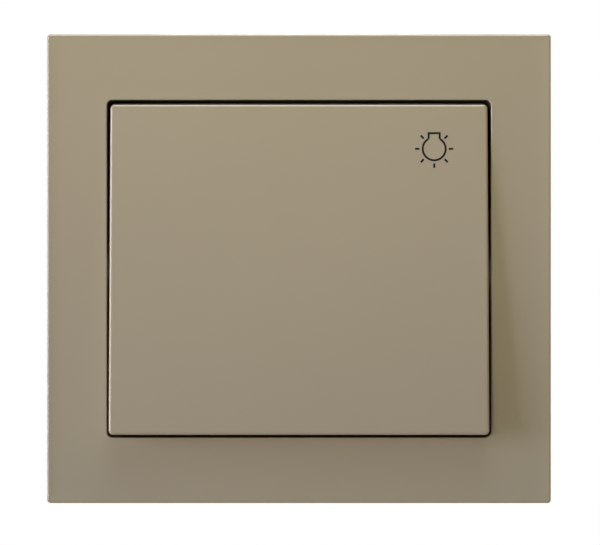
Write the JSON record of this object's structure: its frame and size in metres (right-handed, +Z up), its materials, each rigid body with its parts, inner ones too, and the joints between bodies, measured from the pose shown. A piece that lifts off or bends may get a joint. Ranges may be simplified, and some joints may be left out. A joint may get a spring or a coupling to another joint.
{
  "type": "push button light switch",
  "caption": "Flush wall push button: a tilted rocker in a flat rectangular cover frame, on an insert with a steel support ring, sprung contacts and push-in terminals.",
  "frame": {"origin": "middle of the insert on the wall plane, between the two box screws", "axes": "+X to the right and +Z up as seen from the room, +Y into the wall"},
  "size_m": [0.086, 0.0381, 0.08],
  "materials": {
    "bronze_lacquer": "light bronze lacquer on moulded plastic, satin gloss",
    "cradle_plastic": "moulded, natural white",
    "galvanised_steel": "galvanised sheet",
    "plated_steel": "zinc plated",
    "housing_plastic": "moulded, light grey",
    "plate_plastic": "moulded, mid grey",
    "contact_brass": "rolled strip",
    "contact_silver": "silver alloy",
    "spring_steel": "bright spring steel",
    "release_plastic": "moulded, orange"
  },
  "bodies": {
    "insert": {"cover_frame": "bronze_lacquer", "support_ring": "galvanised_steel", "ring_rivets": "plated_steel", "base_housing": "housing_plastic", "bearing_plate": "plate_plastic", "plate_screws": "plated_steel", "fixed_contact_left": "contact_brass", "fixed_contact_right": "contact_brass", "fixed_contact_tip_left": "contact_silver", "fixed_contact_tip_right": "contact_silver", "return_spring": "spring_steel", "clamp_spring_1": "spring_steel", "clamp_spring_2": "spring_steel", "clamp_spring_3": "spring_steel", "clamp_spring_4": "spring_steel"},
    "rocker": {"rocker": "bronze_lacquer", "rocker_cradle": "cradle_plastic"},
    "plunger": {"plunger": "cradle_plastic", "contact_bridge": "contact_brass", "bridge_contacts": "contact_silver"},
    "release_left": {"release_button_left": "release_plastic"},
    "release_right": {"release_button_right": "release_plastic"}
  },
  "joints": [
    {"name": "rocker_press", "type": "hinge", "parent": "insert", "child": "rocker", "pos_m": [0, -0.007, 0], "axis": [1, 0, 0], "range_deg": [0, 4.2], "stiffness_Nm_per_rad": 0.09, "springref_deg": -22.92},
    {"name": "plunger_slide", "type": "slide", "parent": "insert", "child": "plunger", "axis": [0, 1, 0], "range_m": [0, 0.00112], "deforming": ["return_spring"]},
    {"name": "release_left_push", "type": "slide", "parent": "insert", "child": "release_left", "axis": [0, -1, 0], "range_m": [0, 0.0015], "stiffness_N_per_m": 1500, "springref_m": -0.002, "deforming": ["clamp_spring_1", "clamp_spring_2"]},
    {"name": "release_right_push", "type": "slide", "parent": "insert", "child": "release_right", "axis": [0, -1, 0], "range_m": [0, 0.0015], "stiffness_N_per_m": 1500, "springref_m": -0.002, "deforming": ["clamp_spring_3", "clamp_spring_4"]}
  ],
  "couplings": [
    {"joint": "plunger_slide", "follows": "rocker_press", "m_per_rad": 0.015042}
  ]
}
